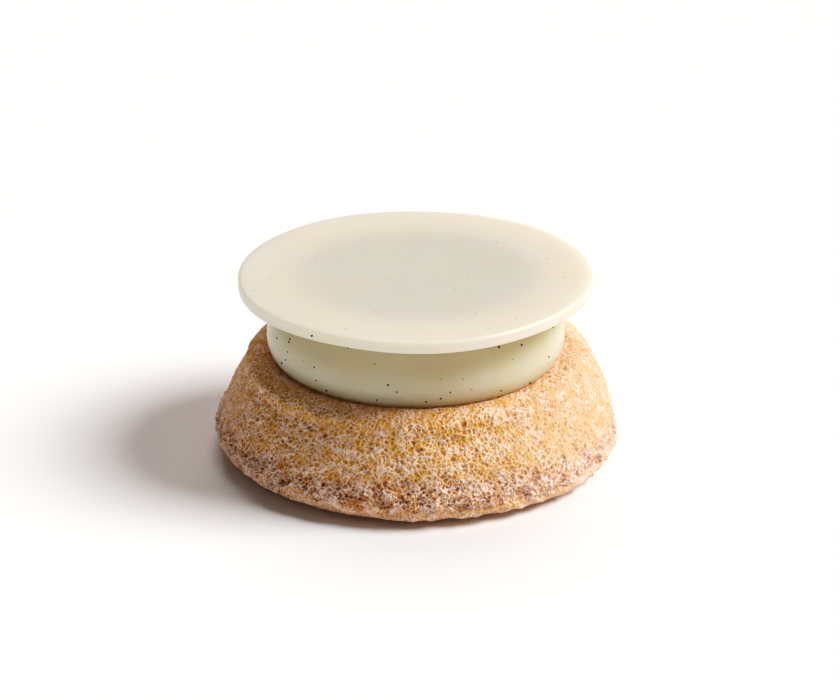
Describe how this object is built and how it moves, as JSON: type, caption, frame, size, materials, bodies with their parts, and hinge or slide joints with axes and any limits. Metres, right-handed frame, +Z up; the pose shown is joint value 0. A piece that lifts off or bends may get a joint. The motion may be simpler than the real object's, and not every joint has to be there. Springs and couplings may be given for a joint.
{
  "type": "cream puff",
  "caption": "Open cream puff: a crusty baked choux bun topped with a round vanilla cream puck and a thin flat cream disc that overhangs it.",
  "frame": {"origin": "centre of the bun's base, on the surface that the pastry stands on", "axes": "+Z up along the axis of the pastry, -Y towards the front"},
  "size_m": [0.0763, 0.0765, 0.0353],
  "materials": {
    "choux_crust": "golden-brown baked crust, sugary and crumbly, matt",
    "vanilla_cream": "smooth moulded vanilla cream with fine dark seeds, satin gloss",
    "set_cream": "pale set cream, smooth and slightly translucent, satin"
  },
  "bodies": {
    "root": {"choux_bun": "choux_crust", "cream_puck": "vanilla_cream", "cream_disc": "set_cream"}
  },
  "joints": []
}
